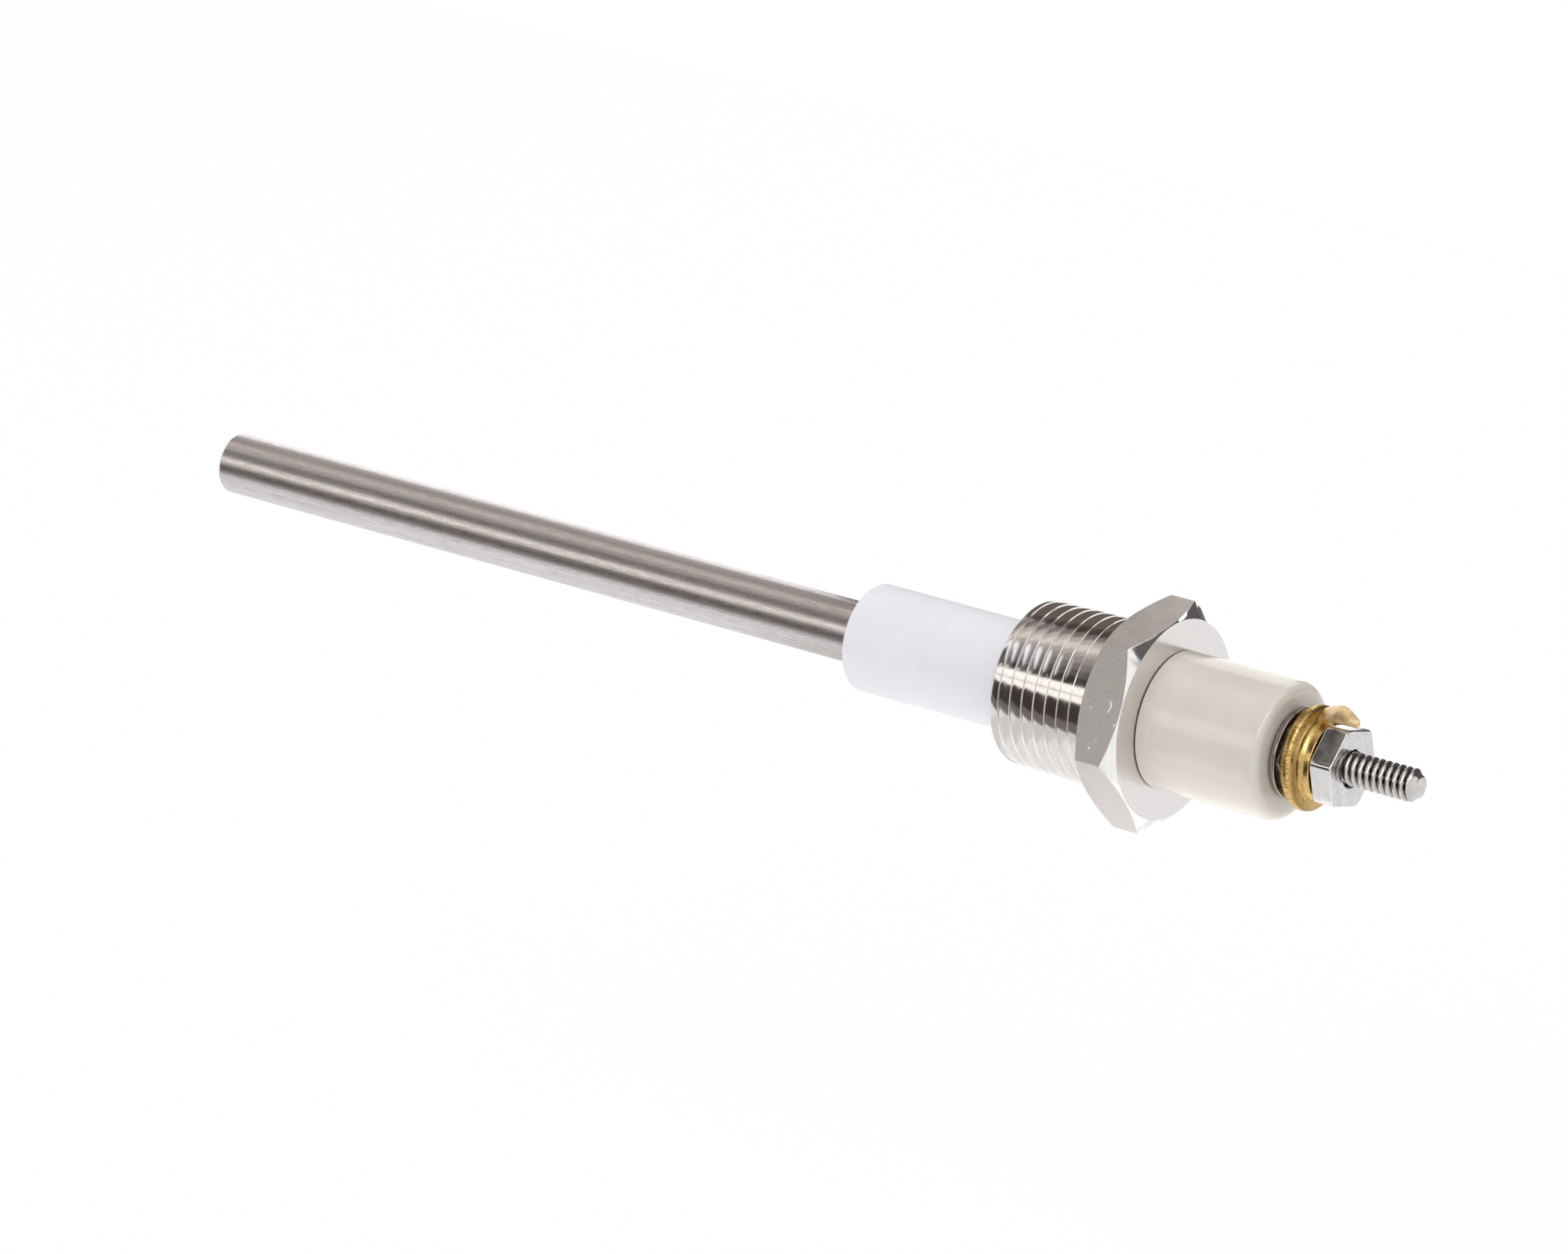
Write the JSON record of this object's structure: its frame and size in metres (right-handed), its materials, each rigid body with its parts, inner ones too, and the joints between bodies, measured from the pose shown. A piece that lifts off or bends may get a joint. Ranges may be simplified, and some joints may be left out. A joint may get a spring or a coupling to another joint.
{
  "type": "threaded electrode probe",
  "caption": "Electrode probe: plain steel rod in a white sleeve, taper pipe threaded hexagon body, glazed ceramic insulator and a threaded terminal with nut and cup washer.",
  "frame": {"origin": "on the probe's axis, 0.95 mm inside the hexagon's thread-side face, where its corners begin", "axes": "+X along the axis towards the terminal stud, rod towards -X; +Z out of one wrench flat"},
  "size_m": [0.1477, 0.0238, 0.0206],
  "materials": {
    "rod_steel": "fine ground stainless steel",
    "sleeve_white": "matte white fluoropolymer",
    "thrust_white": "matte white fluoropolymer",
    "ring_packing": "matte off-white packing",
    "gasket_fibre": "dark brown gasket sheet",
    "body_steel": "bright turned stainless steel, satin milled flats",
    "porcelain_cream": "glossy cream glaze",
    "stud_steel": "bright rolled thread",
    "washer_steel": "bright stamped steel",
    "clamp_steel": "bright stainless steel",
    "cup_brass": "bright pressed brass",
    "nut_steel": "polished stainless steel"
  },
  "bodies": {
    "probe": {"probe_rod": "rod_steel", "insulating_sleeve": "sleeve_white", "shoulder_washer": "thrust_white", "lower_seal_ring": "ring_packing", "upper_gasket": "gasket_fibre", "threaded_body": "body_steel", "porcelain_insulator": "porcelain_cream", "terminal_stud": "stud_steel", "flat_washer": "washer_steel", "clamp_nut": "clamp_steel"},
    "cup": {"cup_washer": "cup_brass"},
    "nut": {"terminal_nut": "nut_steel"}
  },
  "joints": [
    {"name": "cup_lift", "type": "slide", "parent": "probe", "child": "cup", "axis": [1, 0, 0], "range_m": [0, 0.00397]},
    {"name": "nut_turn", "type": "hinge", "parent": "cup", "child": "nut", "pos_m": [0.0235, 0, 0], "axis": [1, 0, 0], "range_deg": [0, 1800]}
  ],
  "couplings": [
    {"joint": "nut_turn", "follows": "cup_lift", "rad_per_m": 7915.8}
  ]
}
